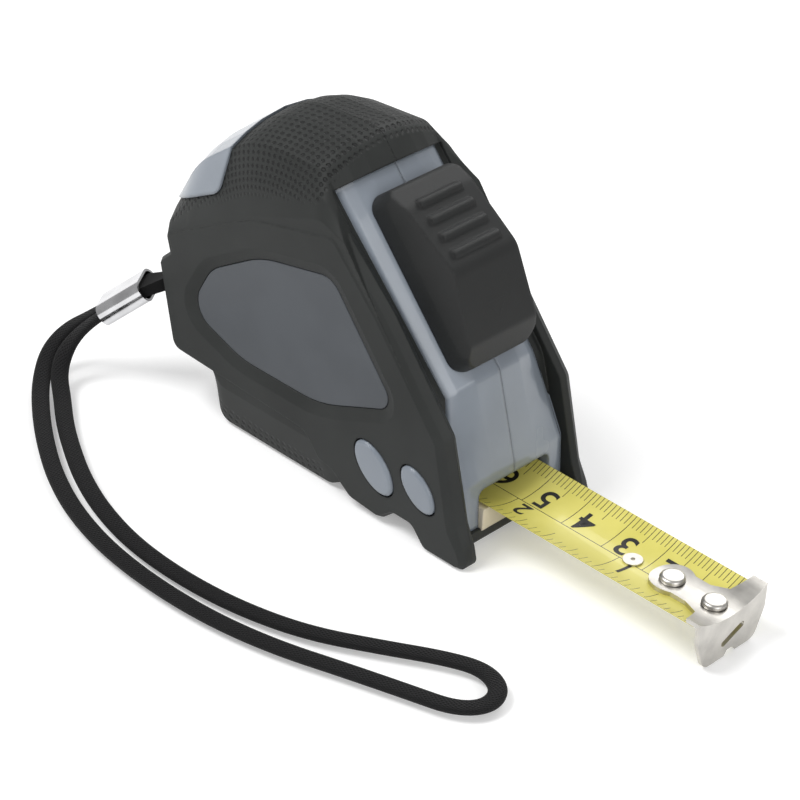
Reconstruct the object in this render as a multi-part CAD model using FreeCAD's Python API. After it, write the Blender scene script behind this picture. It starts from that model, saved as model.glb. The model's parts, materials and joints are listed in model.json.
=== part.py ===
"""Pocket tape measure: a hand-sized case, 5 m spring-return blade, thumb lock, belt clip and wrist strap.

Millimetres.  +X is the way the blade is pulled out, +Z is up and Y runs across the case.
The origin lies on the plane that the case stands on, in the middle of the case's width.
"""
import FreeCAD, Part
import math
import os

Vec = FreeCAD.Vector

# ---- driving dimensions -------------------------------------------------------------------
# case
case_half_width = 18.4
case_top_z = 70.6
case_split_gap = 0.05        # half of the gap between the two case halves
jacket_thickness = 1.6       # rubber over the plastic shell
shell_wall = 1.8
panel_sink = 0.7             # how far the bare front panel lies under the rubber's face
panel_wall = 2.4
panel_half_width = 14.6
panel_edge_round = 2.4
cheek_ridge_y = 15.7            # ridge along the front of each flank
cheek_slope = 2.0               # how far the flank's front edge lies behind that ridge
crown_radius = 27.0          # cross curve of the top of the case

# blade
blade_width = 19.0
blade_flat_chord = 18.4      # width of the curved blade from edge to edge
blade_bow_radius = 21.9
blade_thickness = 0.2
blade_centre_z = 8.0         # height of the blade's middle line
blade_out = 52.0             # blade showing between the mouth and the hook
blade_hidden = 9.4           # straight blade inside the mouth

# hook
hook_thickness = 0.9
hook_play = 0.9              # true-zero play, as long as the hook is thick
hook_tab_top_half = 9.6
hook_tab_foot_half = 7.2
hook_tab_clearance = 0.3     # between the tab's foot and the plane that the case stands on
rivet_radius = 1.25
rivet_head_radius = 2.5
rivet_head_height = 0.9
rivet_pitch = 10.0
rivet_from_tab = 3.5
eyelet_radius = 1.9
eyelet_from_tab = 23.0

# mouth
mouth_x = 38.0               # front of the case at the mouth
mouth_half_width = 9.9
mouth_bottom_z = 4.2
panel_foot_z = 4.6              # the grey columns beside the mouth end here
mouth_top_z = 12.6
bumper_depth = 7.6
blade_clearance = 0.3

# reel
reel_x = -11.0
reel_z = 35.5
coil_radius = 25.0
drum_radius = 20.0
drum_wall = 1.6
reel_flange = 1.0
reel_flange_radius = 24.0
spring_outer_radius = 17.8
spring_inner_radius = 12.5
post_radius = 4.0
post_running_gap = 0.06
cavity_half_width = 12.4
washer_radius = 7.0
face_gap = 0.05              # running gap between flat faces that turn on each other

# thumb lock
slider_top_x = 4.7
slider_top_z = 61.4
slider_start = -0.4
slider_length = 36.4
slider_half_width = 9.4
slider_knuckle_s = 19.0
slider_knuckle_n = 11.2
slider_lip_s = 32.8
slider_lip_n = 6.3
slider_brow_s = 4.5             # where the head's round brow meets the long slope
slider_brow_n = 7.4
slider_head_n = 4.8
slider_plan_round = 3.2
slider_clearance = 0.3
grip_thickness = 1.8
grip_bar_pitch = 3.7
grip_bar_radius = 1.15
grip_bar_sink = 0.5
lock_travel = 3.7
stem_start_s = 18.0
stem_end_s = 24.0
stem_half_width = 2.8
stem_clearance = 0.3
arm_thickness = 1.6
fork_inner_half = 5.4
fork_outer_half = 7.4

# belt clip and screws
clip_width = 16.0
clip_thickness = 1.0
clip_gap = 4.8
clip_top_z = 52.5
clip_foot_length = 11.0
clip_screw_z = 47.0
screw_radius = 1.1
screw_head_radius = 2.6
screw_head_height = 1.6
boss_radius = 2.2
screw_places = ((-33.5, 18.7), (19.0, 23.2), (-37.4, 42.4))

# wrist strap
strap_radius = 1.8
strap_pin_radius = 0.9
strap_pin_place = Vec(-40.2, -14.8, 26.0)
strap_pin_bite = 1.1         # the pin's length inside the wall at each end
strap_pocket_down = 3.8
strap_pocket_up = 2.9
strand_offset = 1.95         # from the ferrule's middle to each strand
ferrule_from = Vec(-47.2, -17.5, 22.5)
ferrule_to = Vec(-54.4, -22.0, 15.3)
ferrule_half_width = 4.4
ferrule_half_height = 2.4
ferrule_wall = 0.5

# ---- derived places -----------------------------------------------------------------------
hook_x = mouth_x + blade_out
blade_axis_z = blade_centre_z + blade_bow_radius
blade_start_x = mouth_x - blade_hidden
blade_end_x = hook_x - hook_play - 0.1
panel_down = Vec(0.676, 0, -0.736).normalize()
panel_out = Vec(-panel_down.z, 0, panel_down.x)

nodes = {}


# ---- small helpers ------------------------------------------------------------------------
def solid_of(shape):
    """The one solid of a boolean's result, cleaned of split faces."""
    shape = shape.removeSplitter()
    if len(shape.Solids) != 1:
        raise ValueError("expected one solid, got " + str([round(s.Volume, 2) for s in shape.Solids]))
    return shape.Solids[0]


def group(shapes):
    return Part.makeCompound(shapes)


def mirrored(shape):
    return shape.mirror(Vec(0, 0, 0), Vec(0, 1, 0))


def box(x0, x1, y0, y1, z0, z1):
    return Part.makeBox(x1 - x0, y1 - y0, z1 - z0, Vec(x0, y0, z0))


def rod(start, end, radius):
    along = end - start
    return Part.makeCylinder(radius, along.Length, start, along)


def inset_corners(corners, inset):
    """Corner points (a, b, radius) of a closed outline, moved inwards by inset."""
    count = len(corners)
    area = sum(corners[i - 1][0] * corners[i][1] - corners[i][0] * corners[i - 1][1] for i in range(count))
    hand = -1 if area > 0 else 1
    moved = []
    for i in range(count):
        before = corners[i - 1]
        here = corners[i]
        after = corners[(i + 1) % count]
        d1 = Vec(here[0] - before[0], here[1] - before[1], 0).normalize()
        d2 = Vec(after[0] - here[0], after[1] - here[1], 0).normalize()
        n1 = Vec(d1.y, -d1.x, 0) * hand
        n2 = Vec(d2.y, -d2.x, 0) * hand
        turn = (d1.x * d2.y - d1.y * d2.x) * hand
        shift = (n1 + n2) * (inset / (1 + n1.dot(n2)))
        radius = here[2] - inset if turn < 0 else here[2] + inset
        moved.append((here[0] + shift.x, here[1] + shift.y, max(radius, 0.25)))
    return moved


def corner_wire(corners, place):
    """Closed wire through corner points, each rounded by its own tangent arc."""
    count = len(corners)
    ends = []
    for i in range(count):
        here = Vec(corners[i][0], corners[i][1], 0)
        before = Vec(corners[i - 1][0], corners[i - 1][1], 0)
        after = Vec(corners[(i + 1) % count][0], corners[(i + 1) % count][1], 0)
        d1 = (here - before).normalize()
        d2 = (after - here).normalize()
        turn = math.acos(max(-1.0, min(1.0, d1.dot(d2))))
        reach = corners[i][2] * math.tan(turn / 2)
        reach = min(reach, 0.48 * (here - before).Length, 0.48 * (after - here).Length)
        start = here - d1 * reach
        end = here + d2 * reach
        bisector = (d2 - d1).normalize()
        radius = reach / math.tan(turn / 2)
        middle = here + bisector * (radius / math.cos(turn / 2) - radius)
        ends.append((start, middle, end))
    edges = []
    for i in range(count):
        start, middle, end = ends[i]
        following = ends[(i + 1) % count][0]
        edges.append(Part.Arc(place(start), place(middle), place(end)).toShape())
        edges.append(Part.LineSegment(place(end), place(following)).toShape())
    return Part.Wire(edges)


def side_place(y):
    return lambda p: Vec(p.x, y, p.y)


def side_prism(corners, y0, y1):
    """Outline in X and Z carried across the case from y0 to y1."""
    face = Part.Face(corner_wire(corners, side_place(y0)))
    return face.extrude(Vec(0, y1 - y0, 0))


def ribbon(points, thickness):
    """Corner points of a band of even thickness along a run of points."""
    left = []
    right = []
    for i, point in enumerate(points):
        d1 = (point - points[i - 1]).normalize() if i > 0 else None
        d2 = (points[i + 1] - point).normalize() if i + 1 < len(points) else None
        d1 = d1 or d2
        d2 = d2 or d1
        n1 = Vec(-d1.y, d1.x, 0)
        n2 = Vec(-d2.y, d2.x, 0)
        shift = (n1 + n2) * (thickness / 2 / (1 + n1.dot(n2)))
        left.append(point + shift)
        right.append(point - shift)
    return left + right[::-1]


def flat_prism(points, place, along):
    placed = [place(p) for p in points]
    face = Part.Face(Part.makePolygon(placed + placed[:1]))
    return face.extrude(along)


# ---- outlines of the case, seen from its right side ----------------------------------------
def crown_drop(y):
    return crown_radius - math.sqrt(crown_radius ** 2 - y ** 2)


def crowned_outline(y):
    """The case's outline at a distance y from its middle, inside the flat sides."""
    drop = crown_drop(y)
    panel_drop = 0.85 * drop
    bend_drop = 1.1 * drop
    return [
        (mouth_x + 0.2, 1.6, 1.0),
        (mouth_x - 0.6, 14.7, 3.0),
        (31.9 - bend_drop * panel_out.x, 33.4 - bend_drop * panel_out.z, 3.0),
        (2.6 - panel_drop * panel_out.x, 65.0 - panel_drop * panel_out.z, 1.5),
        (-2.5, case_top_z - drop, 5.0),
        (-22.0, case_top_z - 1.8 - drop, 18.0),
        (-38.0 + 0.4 * drop, 55.7 - 0.6 * drop, 20.0),
        (-45.8 + 0.6 * drop, 40.2, 2.5),
        (-42.5 + 0.3 * drop, 34.2, 2.0),
        (-39.3, 13.7, 3.0),
        (-28.5, 10.7, 2.0),
        (-26.3, 0.0, 3.0),
        (5.0, 0.0, 4.0),
        (9.0, 3.0, 2.0),
    ]


def flank_outline():
    """The same corners where the crowned middle runs out into the flat side."""
    return [
        (36.5, 7.0, 1.0),
        (35.2, 14.2, 3.0),
        (27.9, 30.6, 3.0),
        (7.0, 56.6, 1.5),
        (0.5, 58.9, 4.0),
        (-18.0, 51.4, 18.0),
        (-35.2, 41.4, 16.0),
        (-41.2, 37.6, 1.5),
        (-40.0, 33.6, 2.0),
        (-38.8, 14.0, 3.0),
        (-27.8, 12.6, 2.0),
        (-25.0, 9.6, 3.0),
        (2.0, 9.6, 4.0),
        (8.0, 8.4, 2.0),
    ]


def shoulder_outline():
    """Half-way down the bevel: the top leans in while the lower grip is still full."""
    crowned = crowned_outline(14.0)
    flank = flank_outline()
    share = [0.3, 0.3, 0.5, 0.5, 0.5, 0.5, 0.5, 0.5, 0.5, 0.2, 0.1, 0.1, 0.1, 0.1]
    mixed = []
    for a, b, t in zip(crowned, flank, share):
        mixed.append(tuple(a[k] + (b[k] - a[k]) * t for k in range(3)))
    return mixed


side_corners = [
    (5.0, 57.8, 3.0),
    (18.4, 45.6, 14.0),
    (34.6, 26.5, 3.0),
    (39.4, 9.4, 5.0),
    (41.0, 4.8, 2.0),
    (42.0, 0.0, 2.4),
    (31.0, 0.0, 2.6),
    (27.6, 3.8, 2.0),
    (22.6, 3.8, 2.0),
    (19.4, 0.9, 2.6),
    (11.3, 1.6, 4.0),
    (6.0, 5.4, 3.0),
    (2.4, 5.9, 2.0),
    (-1.6, 10.6, 4.0),
    (-38.9, 12.0, 3.0),
    (-43.4, 30.6, 1.4),
    (-39.9, 34.0, 1.2),
    (-41.5, 37.8, 1.4),
    (-18.0, 51.5, 30.0),
]


def cheek_outline(lean):
    """Side outline with its front edge set back from the ridge."""
    corners = list(side_corners)
    for i, share in enumerate((0.6, 1.0, 1.0, 1.3, 0.5)):
        a, b, radius = corners[i]
        corners[i] = (a - share * lean * panel_out.x, b - share * lean * panel_out.z, radius)
    return corners


def half_body(inset):
    """Right half of the case's outer form, moved in by inset."""
    stations = []
    for y in (case_split_gap, 6.0, 10.0, 14.0 - 0.3 * inset):
        stations.append((y, crowned_outline(min(y, 14.0))))
    stations.append((16.6 - 0.5 * inset, shoulder_outline()))
    stations.append((case_half_width - 0.2 - inset, flank_outline()))
    wires = []
    for y, corners in stations:
        wires.append(corner_wire(inset_corners(corners, inset), side_place(-y)))
    middle = Part.makeLoft(wires, True, True)
    cheek_wires = []
    edge_round = 0.7
    for y, lean, extra in (
        (panel_half_width + 0.2 * inset, 0.7, 0.0),
        (cheek_ridge_y, 0.0, 0.0),
        (case_half_width - 1.0 - inset, cheek_slope * 0.55, 0.0),
        (case_half_width - inset, cheek_slope, edge_round),
    ):
        corners = inset_corners(cheek_outline(lean), inset + extra)
        cheek_wires.append(corner_wire(corners, side_place(-y)))
    cheek = Part.makeLoft(cheek_wires, True, True)
    return middle.fuse(cheek)


label_corners = [
    (3.4, 47.4, 5.0),
    (21.2, 26.6, 3.0),
    (1.5, 18.2, 25.0),
    (-20.0, 18.1, 20.0),
    (-34.8, 23.2, 6.0),
    (-29.0, 34.4, 10.0),
    (-15.5, 43.1, 25.0),
]


def label_recess():
    """The label's pocket with the wide bevel that runs round it."""
    rim_y = -case_half_width
    inner = corner_wire(inset_corners(label_corners, -0.15), side_place(rim_y + 1.0))
    outer = corner_wire(inset_corners(label_corners, -2.6), side_place(rim_y - 0.02))
    bevel = Part.makeLoft([inner, outer], True, True)
    pocket = side_prism(inset_corners(label_corners, -0.15), rim_y + 1.0, rim_y + 2.0)
    return bevel.fuse(pocket)


def make_label():
    plate = side_prism(label_corners, -case_half_width + 2.0, -case_half_width + 0.95)
    return plate


def oval(centre_x, centre_z, long_half, short_half, y0, y1):
    """A leaning ellipse carried from y0 to y1."""
    tilt = math.radians(-41.6)
    ellipse = Part.Ellipse(Vec(0, 0, 0), long_half, short_half)
    face = Part.Face(Part.Wire(ellipse.toShape()))
    solid = face.extrude(Vec(0, 0, y0 - y1))
    solid.rotate(Vec(0, 0, 0), Vec(0, 0, 1), math.degrees(tilt))
    solid.rotate(Vec(0, 0, 0), Vec(1, 0, 0), 90)
    solid.translate(Vec(centre_x, y0, centre_z))
    return solid


oval_places = ((17.5, 12.0, 6.0, 3.6), (29.0, 12.8, 5.2, 3.1))
oval_proud = 0.5
oval_groove = 0.35


heel_corners = [
    (-27.6, 51.8, 3.2),
    (-27.6, 80.0, 1.0),
    (-70.0, 80.0, 1.0),
    (-70.0, 39.5, 1.0),
    (-44.5, 42.3, 4.0),
]
heel_proud = 0.5


def heel_window():
    """Band across the rear top corner, where the bare shell shows as a low dome."""
    return side_prism(heel_corners, -case_half_width - 2.0, 0.0)


def panel_zone():
    """Band behind the bare front panel, from the rubber's top edge down past the mouth."""
    top = Vec(2.2, 0, 65.4)
    points = [
        top,
        Vec(40, 0, 62),
        Vec(44, 0, 12),
        Vec(44, 0, panel_foot_z),
        Vec(mouth_x - 5.0, 0, panel_foot_z),
        Vec(mouth_x - 0.6 - panel_wall - 1.2, 0, 14.7),
        Vec(31.9, 0, 33.4) - panel_out * (panel_wall + 1.6),
        top - panel_out * (panel_wall + 1.6),
    ]
    width = panel_half_width - case_split_gap
    return flat_prism([Vec(p.x, p.z, 0) for p in points], side_place(-panel_half_width), Vec(0, width, 0))


# ---- the case ------------------------------------------------------------------------------
def panel_body():
    """The crowned middle out to the panel's edges, where it rolls over."""
    wires = []
    straight = panel_half_width - panel_edge_round
    stations = [(y, 0.0) for y in (case_split_gap, 6.0, 10.0)]
    for turn in (0, 25, 50, 70, 90):
        angle = math.radians(turn)
        run = panel_edge_round * math.sin(angle)
        stations.append((straight + run, panel_edge_round * (1 - math.cos(angle))))
    for y, roll in stations:
        wires.append(corner_wire(inset_corners(crowned_outline(y), panel_sink + roll), side_place(-y)))
    return Part.makeLoft(wires, True, True)


def make_cavity():
    wires = []
    inset = jacket_thickness + shell_wall
    for y in (0.0, 6.0, 10.0, cavity_half_width):
        wires.append(corner_wire(inset_corners(crowned_outline(y), inset), side_place(-y)))
    return Part.makeLoft(wires, True, True)


def mouth_cut():
    tall = mouth_top_z - mouth_bottom_z
    cut = box(mouth_x - 14.0, mouth_x + 6.0, -mouth_half_width, 0.0, mouth_bottom_z, mouth_top_z)
    corner = [e for e in cut.Edges if abs(e.Length - 20.0) < 1e-6]
    upper = [e for e in corner if e.CenterOfMass.z > mouth_bottom_z + 0.5 * tall and e.CenterOfMass.y < -1]
    return cut.makeFillet(1.6, upper)


def stem_slot():
    """Slot in the panel for the lock's stem, as long as the stem and its travel."""
    start = stem_start_s - lock_travel - stem_clearance
    length = stem_end_s + stem_clearance - start
    half = stem_half_width + stem_clearance
    return slider_box(start, start + length, -half, half, -8.0, 4.0)


def slider_point(s, n, y=0.0):
    return Vec(slider_top_x, y, slider_top_z) + panel_down * s + panel_out * n


def slider_box(s0, s1, y0, y1, n0, n1):
    corners = [(s0, n0), (s1, n0), (s1, n1), (s0, n1)]
    points = [slider_point(s, n, y0) for s, n in corners]
    face = Part.Face(Part.makePolygon(points + points[:1]))
    return face.extrude(Vec(0, y1 - y0, 0))


def strap_pocket():
    """Slot in the rear of the right flank, with the pin across it."""
    p = strap_pin_place
    return box(p.x - 12.0, p.x + 2.2, p.y - 2.6, p.y + 2.3, p.z - strap_pocket_down, p.z + strap_pocket_up)


def strap_pin():
    p = strap_pin_place
    foot = p - Vec(0, 0, strap_pocket_down + strap_pin_bite)
    return rod(foot, p + Vec(0, 0, strap_pocket_up + strap_pin_bite), strap_pin_radius)


def screw_cuts(side):
    """Head pockets on the left flank and pilot holes on the right one."""
    cuts = []
    for x, z in screw_places:
        if side == "left":
            cuts.append(rod(Vec(x, -14.0, z), Vec(x, -30.0, z), screw_head_radius + 0.3))
            cuts.append(rod(Vec(x, 0.0, z), Vec(x, -15.0, z), screw_radius + 0.25))
        else:
            cuts.append(rod(Vec(x, 0.0, z), Vec(x, -9.0, z), screw_radius))
    return cuts


def make_half(side):
    """Shell and jacket of one side, both built on the right and mirrored for the left."""
    outer = half_body(0.0)
    core = half_body(jacket_thickness)
    cavity = make_cavity()
    zone = panel_zone()
    window = heel_window()
    panel = panel_body().common(zone)
    heel_band = side_prism(inset_corners(heel_corners, 0.1), -case_half_width - 2.0, 0.0)
    heel = half_body(-heel_proud).common(heel_band)
    shell = core.fuse(panel).fuse(heel)
    groove_cuts = []
    for x, z, long_half, short_half in oval_places:
        pad = oval(x, z, long_half, short_half, -case_half_width + 3.0, -case_half_width - oval_proud)
        pad = pad.makeChamfer(0.4, [e for e in pad.Edges if e.CenterOfMass.y < -case_half_width])
        shell = shell.fuse(pad)
        groove_cuts.append(oval(x, z, long_half + oval_groove, short_half + oval_groove,
                                -case_half_width + jacket_thickness, -case_half_width - 2.0))
    shell = shell.cut(cavity)
    inner_post_y = cavity_half_width - 0.6
    boss_end = Vec(reel_x, -cavity_half_width - 1.0, reel_z)
    boss = rod(Vec(reel_x, -inner_post_y, reel_z), boss_end, washer_radius)
    shell = shell.fuse(boss)
    for x, z in screw_places:
        shell = shell.fuse(rod(Vec(x, -case_split_gap, z), Vec(x, -cavity_half_width - 0.5, z), boss_radius))
    post_hole = rod(Vec(reel_x, 0, reel_z), Vec(reel_x, -cavity_half_width - 2.4, reel_z), post_radius)
    shell = shell.cut(post_hole)
    shell = shell.cut(mouth_cut()).cut(stem_slot())
    for cut in screw_cuts(side):
        shell = shell.cut(cut)
    jacket = outer.cut(core).cut(zone).cut(window)
    for cut in groove_cuts:
        jacket = jacket.cut(cut)
    jacket = jacket.cut(cavity).cut(mouth_cut())
    if side == "left":
        for x, z in screw_places:
            jacket = jacket.cut(rod(Vec(x, -14.0, z), Vec(x, -30.0, z), screw_head_radius + 0.3))
        clip_start = Vec(reel_x, -cavity_half_width, clip_screw_z)
        clip_hole = rod(clip_start, Vec(reel_x, -30, clip_screw_z), screw_radius)
        shell = shell.cut(clip_hole)
        jacket = jacket.cut(clip_hole)
    else:
        for cut in (label_recess(), strap_pocket(), strap_pin()):
            shell = shell.cut(cut)
            jacket = jacket.cut(cut)
    shell = solid_of(shell)
    jacket = solid_of(jacket)
    if side == "left":
        return mirrored(shell), mirrored(jacket)
    return shell, jacket


# ---- reel ----------------------------------------------------------------------------------
def disc(radius, hole, y0, y1):
    plate = rod(Vec(reel_x, y0, reel_z), Vec(reel_x, y1, reel_z), radius)
    return plate.cut(rod(Vec(reel_x, y0 - 1, reel_z), Vec(reel_x, y1 + 1, reel_z), hole))


def make_reel():
    """Drum and flange in one piece, its lid, the wound blade and the spring inside."""
    half = blade_width / 2 + 0.1
    bore = post_radius + post_running_gap
    drum = disc(drum_radius, drum_radius - drum_wall, -half, half)
    web = disc(reel_flange_radius, bore, half, half + reel_flange)
    nodes["reel_drum"] = solid_of(drum.fuse(web))
    nodes["reel_lid"] = disc(reel_flange_radius, bore, -half - reel_flange, -half)
    nodes["blade_coil"] = disc(coil_radius, drum_radius, -blade_width / 2, blade_width / 2)
    spring = disc(spring_outer_radius, spring_inner_radius, 1.0 - half, half - 1.0)
    tail = box(reel_x + post_radius + 0.25, reel_x + spring_inner_radius + 0.5, 1.0 - half, half - 1.0,
               reel_z - 0.25, reel_z + 0.25)
    nodes["power_spring"] = solid_of(spring.fuse(tail))
    web_face = half + reel_flange
    washers = []
    for side in (-1, 1):
        inner = side * (web_face + face_gap)
        outer = side * (cavity_half_width - 0.6 - face_gap)
        washers.append(disc(washer_radius, bore, min(inner, outer), max(inner, outer)))
    nodes["reel_washers"] = group(washers)
    post_half = cavity_half_width + 2.3
    post = rod(Vec(reel_x, -post_half, reel_z), Vec(reel_x, post_half, reel_z), post_radius)
    slot = box(reel_x - 0.4, reel_x + 0.4, 1.0 - half, half - 1.0, reel_z, reel_z + post_radius + 1)
    nodes["centre_post"] = post.cut(slot)


# ---- blade and hook ------------------------------------------------------------------------
def bowed_sheet(inner_gap, thickness, x0, x1, half):
    """Sheet that follows the blade's hollow; inner_gap is measured up from the blade's middle."""
    r_out = blade_bow_radius - inner_gap + thickness / 2
    r_in = r_out - thickness
    axis0 = Vec(x0, 0, blade_axis_z)
    axis1 = Vec(x1, 0, blade_axis_z)
    ring = rod(axis0, axis1, r_out).cut(rod(axis0, axis1, r_in))
    return ring.common(box(x0, x1, -half, half, 0, blade_axis_z - 12))


def rivet_xs():
    first = hook_x - rivet_from_tab
    return (first, first - rivet_pitch)


def make_blade():
    sheet = bowed_sheet(0.0, blade_thickness, blade_start_x, blade_end_x, blade_flat_chord / 2)
    for x in rivet_xs():
        sheet = sheet.cut(rod(Vec(x, 0, 5), Vec(x, 0, 11), rivet_radius))
    eyelet_x = hook_x - eyelet_from_tab
    sheet = sheet.cut(rod(Vec(eyelet_x, 0, 5), Vec(eyelet_x, 0, 11), 0.45 * eyelet_radius))
    nodes["blade"] = solid_of(sheet)
    rivets = []
    under = blade_centre_z - blade_thickness / 2
    tongue_top = blade_centre_z + blade_thickness / 2 + 0.05 + hook_thickness
    head_z = tongue_top + 0.2
    for x in rivet_xs():
        rivet = rod(Vec(x, 0, under - 0.5), Vec(x, 0, head_z + 0.3), rivet_radius)
        foot = rod(Vec(x, 0, under - 0.5), Vec(x, 0, under), 1.6 * rivet_radius)
        head = rod(Vec(x, 0, head_z), Vec(x, 0, head_z + rivet_head_height), rivet_head_radius)
        rim = [e for e in head.Edges if e.CenterOfMass.z > head_z + 0.5]
        head = head.makeFillet(0.7, [e for e in rim if abs(e.Length - 2 * math.pi * rivet_head_radius) < 0.1])
        rivets.append(solid_of(rivet.fuse(foot).fuse(head)))
    nodes["hook_rivets"] = group(rivets)
    top = blade_centre_z + blade_thickness / 2
    ring = rod(Vec(eyelet_x, 0, top + 0.1), Vec(eyelet_x, 0, top + 0.45), eyelet_radius)
    neck = rod(Vec(eyelet_x, 0, under - 0.3), Vec(eyelet_x, 0, top + 0.1), 0.45 * eyelet_radius)
    foot = rod(Vec(eyelet_x, 0, under - 0.3), Vec(eyelet_x, 0, under), 0.8 * eyelet_radius)
    eyelet = ring.fuse(neck).fuse(foot)
    eyelet = eyelet.cut(rod(Vec(eyelet_x, 0, 5), Vec(eyelet_x, 0, 11), 0.24 * eyelet_radius))
    nodes["blade_eyelet"] = solid_of(eyelet)


def make_hook():
    """Tongue on the blade, waisted between its rivets and the wings, and the turned-down tab."""
    far_x = rivet_xs()[1]
    near_x = rivet_xs()[0]
    lift = blade_thickness / 2 + 0.05 + hook_thickness / 2
    sheet = bowed_sheet(lift, hook_thickness, far_x - 6, hook_x + hook_thickness, hook_tab_top_half)
    outline = rod(Vec(far_x, 0, 0), Vec(far_x, 0, 20), 4.4)
    outline = outline.fuse(box(far_x, near_x + 2.0, -3.6, 3.6, 0, 20))
    wing = [
        Vec(near_x - 4.0, -3.6, 0),
        Vec(near_x - 0.5, -5.0, 0),
        Vec(hook_x - 2.4, -hook_tab_top_half, 0),
        Vec(hook_x + hook_thickness, -hook_tab_top_half, 0),
        Vec(hook_x + hook_thickness, hook_tab_top_half, 0),
        Vec(hook_x - 2.4, hook_tab_top_half, 0),
        Vec(near_x - 0.5, 5.0, 0),
        Vec(near_x - 4.0, 3.6, 0),
    ]
    outline = outline.fuse(flat_prism(wing, lambda p: p, Vec(0, 0, 20)))
    tongue = sheet.common(outline)
    foot_z = hook_tab_clearance
    tab_corners = [
        (-hook_tab_top_half, 12.0, 0.3),
        (hook_tab_top_half, 12.0, 0.3),
        (hook_tab_top_half, 6.4, 2.0),
        (hook_tab_foot_half, foot_z, 2.4),
        (1.8, foot_z, 0.4),
        (1.0, foot_z + 1.1, 0.5),
        (-0.6, foot_z + 1.1, 0.5),
        (-1.4, foot_z, 0.4),
        (-hook_tab_foot_half, foot_z, 2.4),
        (-hook_tab_top_half, 6.4, 2.0),
    ]
    tab_face = Part.Face(corner_wire(tab_corners, lambda p: Vec(hook_x, p.x, p.y)))
    tab = tab_face.extrude(Vec(hook_thickness, 0, 0))
    above = rod(Vec(hook_x - 1, 0, blade_axis_z), Vec(hook_x + 3, 0, blade_axis_z),
                blade_bow_radius - lift - hook_thickness / 2)
    tab = tab.cut(above)
    slot = box(hook_x - 1, hook_x + 2, -2.6, 2.6, -0.7, 0.7)
    slot = slot.fuse(rod(Vec(hook_x - 1, -2.6, 0), Vec(hook_x + 2, -2.6, 0), 0.7))
    slot = slot.fuse(rod(Vec(hook_x - 1, 2.6, 0), Vec(hook_x + 2, 2.6, 0), 0.7))
    slot.rotate(Vec(hook_x, 0, 0), Vec(1, 0, 0), 22)
    slot.translate(Vec(0, 0.6, 4.4))
    tab = tab.cut(slot)
    hook = tongue.fuse(tab)
    for x in rivet_xs():
        hole_radius = rivet_radius + 0.06
        hole = rod(Vec(x, 0, 5), Vec(x, 0, 12), hole_radius)
        hole = hole.fuse(rod(Vec(x + hook_play, 0, 5), Vec(x + hook_play, 0, 12), hole_radius))
        hole = hole.fuse(box(x, x + hook_play, -hole_radius, hole_radius, 5, 12))
        hook = hook.cut(hole)
    nodes["hook"] = solid_of(hook)


def make_bumper():
    """Pale wear pad that fills the mouth's floor and backs the hook when the blade is in."""
    pad = box(mouth_x - bumper_depth, mouth_x + 0.2, -mouth_half_width + 0.1, mouth_half_width - 0.1,
              mouth_bottom_z, blade_centre_z + 1.0)
    hollow_radius = blade_bow_radius + blade_thickness / 2 + blade_clearance
    hollow = rod(Vec(mouth_x - 20, 0, blade_axis_z), Vec(mouth_x + 5, 0, blade_axis_z), hollow_radius)
    groove = box(mouth_x - 20, mouth_x + 5, -2.6, 2.6, blade_centre_z - 1.2, blade_centre_z + 2)
    nodes["mouth_bumper"] = solid_of(pad.cut(hollow).cut(groove))


# ---- thumb lock ----------------------------------------------------------------------------
def slider_form(inset):
    """Wedge on the panel: seen from the side, and narrowing away from the panel."""
    side = [
        (slider_start + inset, -3.6),
        (slider_start + 0.3 + inset, slider_head_n - inset),
        (slider_brow_s, slider_brow_n - 1.1 * inset),
        (slider_knuckle_s, slider_knuckle_n - 1.1 * inset),
        (slider_lip_s - 0.6 * inset, slider_lip_n - inset),
        (slider_length - inset, 2.4),
        (slider_length - inset, -3.6),
    ]
    rounds = (0.3, 2.0, 6.0, 4.5, 2.0, 1.5, 0.3)
    corners = [(a, b, max(r - inset, 0.3)) for (a, b), r in zip(side, rounds)]
    half = slider_half_width + 1.0
    wedge = Part.Face(corner_wire(corners, lambda p: slider_point(p.x, p.y, -half)))
    wedge = wedge.extrude(Vec(0, 2 * half, 0))
    foot = slider_half_width - inset
    top = slider_half_width - 1.0 - inset
    shape = [
        (-foot, -4.0, 0.3),
        (-foot - 0.0, 3.0 - inset, 2.0),
        (-top, slider_knuckle_n + 1.5 - inset, 1.8),
        (top, slider_knuckle_n + 1.5 - inset, 1.8),
        (foot, 3.0 - inset, 2.0),
        (foot, -4.0, 0.3),
    ]
    cross = Part.Face(corner_wire(shape, lambda p: slider_point(-4.0, p.y, p.x)))
    cross = cross.extrude(panel_down * (slider_length + 8.0))
    plan_round = max(slider_plan_round - inset, 0.5)
    plan = [
        (slider_start + inset, -foot, plan_round),
        (slider_length - inset, -foot, plan_round),
        (slider_length - inset, foot, plan_round),
        (slider_start + inset, foot, plan_round),
    ]
    upright = Part.Face(corner_wire(plan, lambda p: slider_point(p.x, -5.0, p.y))).extrude(panel_out * 20.0)
    return wedge.common(cross).common(upright)


def panel_keepout():
    """The panel's outer face with the lock's clearance, both halves together."""
    half = half_body(panel_sink - slider_clearance)
    return half.common(box(-60, 60, -12.5, 0, -5, 90))


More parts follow.
